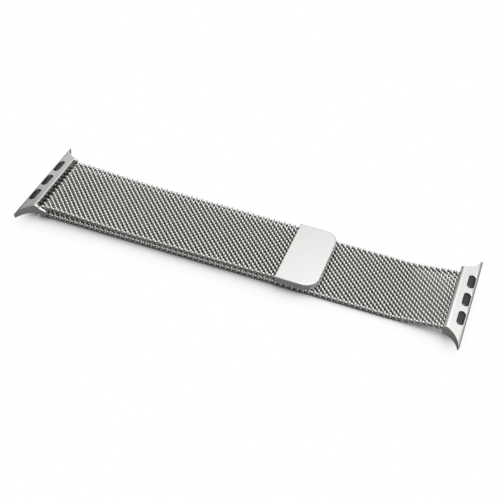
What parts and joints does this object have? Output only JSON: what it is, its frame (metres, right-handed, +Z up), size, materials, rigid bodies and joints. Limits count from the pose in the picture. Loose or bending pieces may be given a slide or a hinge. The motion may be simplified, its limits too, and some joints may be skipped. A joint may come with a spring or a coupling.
{
  "type": "woven steel watch band",
  "caption": "Woven steel mesh watch band with a slide-in lug at each end: one end folds round a loop bar and back to a flat magnetic clasp.",
  "frame": {"origin": "centre of the footprint, on the table", "axes": "+X along the band towards the fixed lug, +Y across it, +Z up, out of the strap's outer side"},
  "size_m": [0.128, 0.0326, 0.0043],
  "materials": {
    "plate_steel": "satin steel",
    "mesh_steel": "bright woven steel wire",
    "clasp_steel": "satin steel",
    "pad_black": "smooth black",
    "latch_black": "glossy black",
    "spring_steel": "spring steel",
    "magnet_nickel": "nickel plated"
  },
  "bodies": {
    "lower_01": {"lower_link_01": "mesh_steel"},
    "lower_02": {"lower_link_02": "mesh_steel"},
    "lower_03": {"lower_link_03": "mesh_steel"},
    "lower_04": {"lower_link_04": "mesh_steel"},
    "lower_05": {"lower_link_05": "mesh_steel"},
    "lower_06": {"lower_link_06": "mesh_steel"},
    "lower_07": {"lower_link_07": "mesh_steel"},
    "lower_08": {"lower_link_08": "mesh_steel"},
    "lower_09": {"lower_link_09": "mesh_steel"},
    "lower_10": {"lower_link_10": "mesh_steel"},
    "lower_11": {"lower_link_11": "mesh_steel"},
    "lower_12": {"lower_link_12": "mesh_steel"},
    "lower_13": {"lower_link_13": "mesh_steel"},
    "lower_14": {"lower_link_14": "mesh_steel"},
    "lower_15": {"lower_link_15": "mesh_steel"},
    "lower_16": {"lower_link_16": "mesh_steel"},
    "lower_17": {"lower_link_17": "mesh_steel"},
    "lower_18": {"lower_link_18": "mesh_steel"},
    "upper_01": {"upper_link_01": "mesh_steel"},
    "upper_02": {"upper_link_02": "mesh_steel"},
    "upper_03": {"upper_link_03": "mesh_steel"},
    "upper_04": {"upper_link_04": "mesh_steel"},
    "upper_05": {"upper_link_05": "mesh_steel"},
    "upper_06": {"upper_link_06": "mesh_steel"},
    "upper_07": {"upper_link_07": "mesh_steel"},
    "upper_08": {"upper_link_08": "mesh_steel"},
    "upper_09": {"upper_link_09": "mesh_steel"},
    "upper_10": {"upper_link_10": "mesh_steel"},
    "fold": {"mesh_fold": "mesh_steel"},
    "flap": {"mesh_upper_lead": "mesh_steel"},
    "clasp": {"clasp_cover": "clasp_steel", "clasp_base": "clasp_steel", "clasp_magnets": "magnet_nickel", "mesh_clasp_end": "mesh_steel"},
    "loop_lug": {"loop_lug": "plate_steel", "loop_pad_far": "pad_black", "loop_pad_near": "pad_black", "loop_retainer": "plate_steel", "loop_latch_spring": "spring_steel", "loop_bar": "plate_steel"},
    "loop_latch": {"loop_latch": "latch_black"},
    "fixed_lug": {"fixed_lug": "plate_steel", "fixed_pad_far": "pad_black", "fixed_pad_near": "pad_black", "fixed_retainer": "plate_steel", "fixed_latch_spring": "spring_steel", "mesh_fixed_end": "mesh_steel"},
    "fixed_latch": {"fixed_latch": "latch_black"}
  },
  "joints": [
    {"name": "curl_lower_09", "type": "hinge", "parent": "lower_09", "child": "lower_10", "pos_m": [0.00169, 0, 0.00075], "axis": [0, 1, 0], "range_deg": [0, 12]},
    {"name": "curl_lower_10", "type": "hinge", "parent": "lower_10", "child": "lower_11", "pos_m": [0.00795, 0, 0.00075], "axis": [0, 1, 0], "range_deg": [0, 12]},
    {"name": "curl_lower_11", "type": "hinge", "parent": "lower_11", "child": "lower_12", "pos_m": [0.01421, 0, 0.00075], "axis": [0, 1, 0], "range_deg": [0, 12]},
    {"name": "curl_lower_12", "type": "hinge", "parent": "lower_12", "child": "lower_13", "pos_m": [0.02048, 0, 0.00075], "axis": [0, 1, 0], "range_deg": [0, 12]},
    {"name": "curl_lower_13", "type": "hinge", "parent": "lower_13", "child": "lower_14", "pos_m": [0.02674, 0, 0.00075], "axis": [0, 1, 0], "range_deg": [0, 12]},
    {"name": "curl_lower_14", "type": "hinge", "parent": "lower_14", "child": "lower_15", "pos_m": [0.033, 0, 0.00075], "axis": [0, 1, 0], "range_deg": [0, 12]},
    {"name": "curl_lower_15", "type": "hinge", "parent": "lower_15", "child": "lower_16", "pos_m": [0.03926, 0, 0.00075], "axis": [0, 1, 0], "range_deg": [0, 12]},
    {"name": "curl_lower_16", "type": "hinge", "parent": "lower_16", "child": "lower_17", "pos_m": [0.04552, 0, 0.00075], "axis": [0, 1, 0], "range_deg": [0, 12]},
    {"name": "curl_lower_17", "type": "hinge", "parent": "lower_17", "child": "lower_18", "pos_m": [0.05179, 0, 0.00149], "axis": [0, 1, 0], "range_deg": [0, 12]},
    {"name": "curl_lower_18", "type": "hinge", "parent": "lower_18", "child": "fixed_lug", "pos_m": [0.05805, 0, 0.0023], "axis": [0, 1, 0], "range_deg": [0, 12]},
    {"name": "curl_lower_08", "type": "hinge", "parent": "lower_09", "child": "lower_08", "pos_m": [-0.00457, 0, 0.00075], "axis": [0, -1, 0], "range_deg": [0, 12]},
    {"name": "curl_lower_07", "type": "hinge", "parent": "lower_08", "child": "lower_07", "pos_m": [-0.01083, 0, 0.00075], "axis": [0, -1, 0], "range_deg": [0, 12]},
    {"name": "curl_lower_06", "type": "hinge", "parent": "lower_07", "child": "lower_06", "pos_m": [-0.0171, 0, 0.00075], "axis": [0, -1, 0], "range_deg": [0, 12]},
    {"name": "curl_lower_05", "type": "hinge", "parent": "lower_06", "child": "lower_05", "pos_m": [-0.02336, 0, 0.00075], "axis": [0, -1, 0], "range_deg": [0, 12]},
    {"name": "curl_lower_04", "type": "hinge", "parent": "lower_05", "child": "lower_04", "pos_m": [-0.02962, 0, 0.00075], "axis": [0, -1, 0], "range_deg": [0, 12]},
    {"name": "curl_lower_03", "type": "hinge", "parent": "lower_04", "child": "lower_03", "pos_m": [-0.03588, 0, 0.00075], "axis": [0, -1, 0], "range_deg": [0, 12]},
    {"name": "curl_lower_02", "type": "hinge", "parent": "lower_03", "child": "lower_02", "pos_m": [-0.04214, 0, 0.00075], "axis": [0, -1, 0], "range_deg": [0, 12]},
    {"name": "curl_lower_01", "type": "hinge", "parent": "lower_02", "child": "lower_01", "pos_m": [-0.04841, 0, 0.00075], "axis": [0, -1, 0], "range_deg": [0, 12]},
    {"name": "curl_lower_00", "type": "hinge", "parent": "lower_01", "child": "fold", "pos_m": [-0.05467, 0, 0.00075], "axis": [0, -1, 0], "range_deg": [0, 12]},
    {"name": "flap_open", "type": "hinge", "parent": "fold", "child": "flap", "pos_m": [-0.05707, 0, 0.00215], "axis": [0, -1, 0], "range_deg": [0, 75], "deforming": ["mesh_fold"]},
    {"name": "curl_upper_00", "type": "hinge", "parent": "flap", "child": "upper_01", "pos_m": [-0.05467, 0, 0.00355], "axis": [0, 1, 0], "range_deg": [0, 12]},
    {"name": "curl_upper_01", "type": "hinge", "parent": "upper_01", "child": "upper_02", "pos_m": [-0.04832, 0, 0.00325], "axis": [0, 1, 0], "range_deg": [0, 12]},
    {"name": "curl_upper_02", "type": "hinge", "parent": "upper_02", "child": "upper_03", "pos_m": [-0.04198, 0, 0.00295], "axis": [0, 1, 0], "range_deg": [0, 12]},
    {"name": "curl_upper_03", "type": "hinge", "parent": "upper_03", "child": "upper_04", "pos_m": [-0.03564, 0, 0.0027], "axis": [0, 1, 0], "range_deg": [0, 12]},
    {"name": "curl_upper_04", "type": "hinge", "parent": "upper_04", "child": "upper_05", "pos_m": [-0.02929, 0, 0.00255], "axis": [0, 1, 0], "range_deg": [0, 12]},
    {"name": "curl_upper_05", "type": "hinge", "parent": "upper_05", "child": "upper_06", "pos_m": [-0.02295, 0, 0.00255], "axis": [0, 1, 0], "range_deg": [0, 12]},
    {"name": "curl_upper_06", "type": "hinge", "parent": "upper_06", "child": "upper_07", "pos_m": [-0.0166, 0, 0.00255], "axis": [0, 1, 0], "range_deg": [0, 12]},
    {"name": "curl_upper_07", "type": "hinge", "parent": "upper_07", "child": "upper_08", "pos_m": [-0.01026, 0, 0.00255], "axis": [0, 1, 0], "range_deg": [0, 12]},
    {"name": "curl_upper_08", "type": "hinge", "parent": "upper_08", "child": "upper_09", "pos_m": [-0.00391, 0, 0.00255], "axis": [0, 1, 0], "range_deg": [0, 12]},
    {"name": "curl_upper_09", "type": "hinge", "parent": "upper_09", "child": "upper_10", "pos_m": [0.00243, 0, 0.00255], "axis": [0, 1, 0], "range_deg": [0, 12]},
    {"name": "curl_upper_10", "type": "hinge", "parent": "upper_10", "child": "clasp", "pos_m": [0.00878, 0, 0.00255], "axis": [0, 1, 0], "range_deg": [0, 12]},
    {"name": "loop_lug_pivot", "type": "hinge", "parent": "fold", "child": "loop_lug", "pos_m": [-0.05707, 0, 0.00215], "axis": [0, 1, 0], "range_deg": [-20, 15]},
    {"name": "loop_latch_press", "type": "slide", "parent": "loop_lug", "child": "loop_latch", "axis": [0.1736, 0, -0.9848], "range_m": [0, 0.0004], "stiffness_N_per_m": 400, "springref_m": -0.0003, "deforming": ["loop_latch_spring"]},
    {"name": "fixed_latch_press", "type": "slide", "parent": "fixed_lug", "child": "fixed_latch", "axis": [-0.1736, 0, -0.9848], "range_m": [0, 0.0004], "stiffness_N_per_m": 400, "springref_m": -0.0003, "deforming": ["fixed_latch_spring"]}
  ],
  "couplings": [
    {"joint": "curl_lower_10", "follows": "curl_lower_09", "ratio": 1},
    {"joint": "curl_lower_11", "follows": "curl_lower_09", "ratio": 1},
    {"joint": "curl_lower_12", "follows": "curl_lower_09", "ratio": 1},
    {"joint": "curl_lower_13", "follows": "curl_lower_09", "ratio": 1},
    {"joint": "curl_lower_14", "follows": "curl_lower_09", "ratio": 1},
    {"joint": "curl_lower_15", "follows": "curl_lower_09", "ratio": 1},
    {"joint": "curl_lower_16", "follows": "curl_lower_09", "ratio": 1},
    {"joint": "curl_lower_17", "follows": "curl_lower_09", "ratio": 1},
    {"joint": "curl_lower_18", "follows": "curl_lower_09", "ratio": 1},
    {"joint": "curl_lower_08", "follows": "curl_lower_09", "ratio": 1},
    {"joint": "curl_lower_07", "follows": "curl_lower_09", "ratio": 1},
    {"joint": "curl_lower_06", "follows": "curl_lower_09", "ratio": 1},
    {"joint": "curl_lower_05", "follows": "curl_lower_09", "ratio": 1},
    {"joint": "curl_lower_04", "follows": "curl_lower_09", "ratio": 1},
    {"joint": "curl_lower_03", "follows": "curl_lower_09", "ratio": 1},
    {"joint": "curl_lower_02", "follows": "curl_lower_09", "ratio": 1},
    {"joint": "curl_lower_01", "follows": "curl_lower_09", "ratio": 1},
    {"joint": "curl_lower_00", "follows": "curl_lower_09", "ratio": 1},
    {"joint": "curl_upper_00", "follows": "curl_lower_09", "ratio": 0.9251},
    {"joint": "curl_upper_01", "follows": "curl_lower_09", "ratio": 0.9251},
    {"joint": "curl_upper_02", "follows": "curl_lower_09", "ratio": 0.9251},
    {"joint": "curl_upper_03", "follows": "curl_lower_09", "ratio": 0.9251},
    {"joint": "curl_upper_04", "follows": "curl_lower_09", "ratio": 0.9251},
    {"joint": "curl_upper_05", "follows": "curl_lower_09", "ratio": 0.9251},
    {"joint": "curl_upper_06", "follows": "curl_lower_09", "ratio": 0.9251},
    {"joint": "curl_upper_07", "follows": "curl_lower_09", "ratio": 0.9251},
    {"joint": "curl_upper_08", "follows": "curl_lower_09", "ratio": 0.9251},
    {"joint": "curl_upper_09", "follows": "curl_lower_09", "ratio": 0.9251},
    {"joint": "curl_upper_10", "follows": "curl_lower_09", "ratio": 0.9251}
  ]
}
